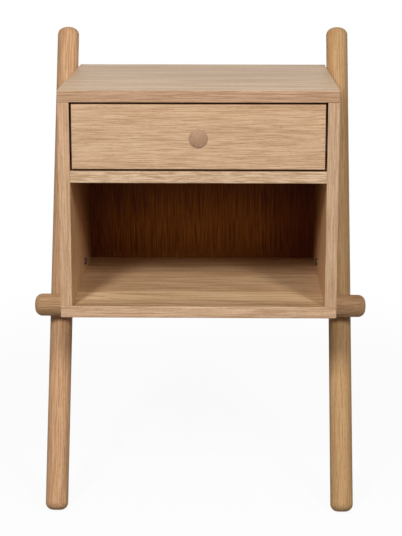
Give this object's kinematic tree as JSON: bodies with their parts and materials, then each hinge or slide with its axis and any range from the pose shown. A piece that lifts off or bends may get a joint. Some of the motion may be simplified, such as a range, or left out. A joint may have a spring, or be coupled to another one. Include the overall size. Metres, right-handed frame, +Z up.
{
  "type": "bedside cabinet",
  "caption": "Oak bedside cabinet that leans on a wall: an open-fronted case with a drawer over a shelf bay, carried on slanted round poles joined by a cross bar.",
  "frame": {"origin": "on the floor, at the middle of the width and midway between the knob's face and the wall", "axes": "+Z up, +Y towards the wall, +X to the right as one faces the drawer"},
  "size_m": [0.534, 0.4, 0.7475],
  "materials": {
    "oak_board": "matt oiled oak veneer with eased edges",
    "oak_sheet": "matt oak-faced thin sheet",
    "oak_turned": "matt oiled solid oak, turned round",
    "birch_board": "satin lacquered birch plywood",
    "birch_sheet": "satin lacquered thin plywood",
    "beech_dowel": "plain fluted beech",
    "nickel_bolt": "satin dark nickel plated steel",
    "zinc_insert": "zinc plated steel",
    "brass_insert": "plain brass",
    "zinc_screw": "zinc plated steel",
    "zinc_slide": "black zinc plated rolled steel",
    "ball_retainer": "plain pressed steel",
    "bearing_ball": "polished steel"
  },
  "bodies": {
    "root": {"top_panel": "oak_board", "bottom_panel": "oak_board", "mid_panel": "oak_board", "left_side_panel": "oak_board", "right_side_panel": "oak_board", "back_panel": "oak_sheet", "wall_rail": "oak_board", "left_pole": "oak_turned", "right_pole": "oak_turned", "cross_bar": "oak_turned", "case_dowels": "beech_dowel", "pole_bolts": "nickel_bolt", "pole_inserts": "zinc_insert", "bar_bolts": "nickel_bolt", "bar_inserts": "zinc_insert", "left_slide_outer": "zinc_slide", "right_slide_outer": "zinc_slide", "slide_case_screws": "zinc_screw"},
    "drawer": {"drawer_front": "oak_board", "drawer_box_front": "birch_board", "drawer_back": "birch_board", "drawer_left_side": "birch_board", "drawer_right_side": "birch_board", "drawer_bottom": "birch_sheet", "drawer_dowels": "beech_dowel", "drawer_knob": "oak_turned", "knob_insert": "brass_insert", "knob_screw": "zinc_screw", "drawer_face_screws": "zinc_screw", "left_slide_inner": "zinc_slide", "right_slide_inner": "zinc_slide", "slide_box_screws": "zinc_screw"},
    "left_middle": {"left_slide_middle": "zinc_slide"},
    "left_outer_cage": {"left_outer_retainer": "ball_retainer", "left_outer_balls": "bearing_ball"},
    "left_inner_cage": {"left_inner_retainer": "ball_retainer", "left_inner_balls": "bearing_ball"},
    "right_middle": {"right_slide_middle": "zinc_slide"},
    "right_outer_cage": {"right_outer_retainer": "ball_retainer", "right_outer_balls": "bearing_ball"},
    "right_inner_cage": {"right_inner_retainer": "ball_retainer", "right_inner_balls": "bearing_ball"}
  },
  "joints": [
    {"name": "drawer_slide", "type": "slide", "parent": "root", "child": "drawer", "axis": [0, -1, 0], "range_m": [0, 0.28]},
    {"name": "left_middle_slide", "type": "slide", "parent": "root", "child": "left_middle", "axis": [0, -1, 0], "range_m": [0, 0.1405]},
    {"name": "left_outer_cage_slide", "type": "slide", "parent": "root", "child": "left_outer_cage", "axis": [0, -1, 0], "range_m": [0, 0.0705]},
    {"name": "left_inner_cage_slide", "type": "slide", "parent": "root", "child": "left_inner_cage", "axis": [0, -1, 0], "range_m": [0, 0.2105]},
    {"name": "right_middle_slide", "type": "slide", "parent": "root", "child": "right_middle", "axis": [0, -1, 0], "range_m": [0, 0.1405]},
    {"name": "right_outer_cage_slide", "type": "slide", "parent": "root", "child": "right_outer_cage", "axis": [0, -1, 0], "range_m": [0, 0.0705]},
    {"name": "right_inner_cage_slide", "type": "slide", "parent": "root", "child": "right_inner_cage", "axis": [0, -1, 0], "range_m": [0, 0.2105]}
  ],
  "couplings": [
    {"joint": "left_middle_slide", "follows": "drawer_slide", "ratio": 0.5},
    {"joint": "left_outer_cage_slide", "follows": "drawer_slide", "ratio": 0.25},
    {"joint": "left_inner_cage_slide", "follows": "drawer_slide", "ratio": 0.75},
    {"joint": "right_middle_slide", "follows": "drawer_slide", "ratio": 0.5},
    {"joint": "right_outer_cage_slide", "follows": "drawer_slide", "ratio": 0.25},
    {"joint": "right_inner_cage_slide", "follows": "drawer_slide", "ratio": 0.75}
  ]
}
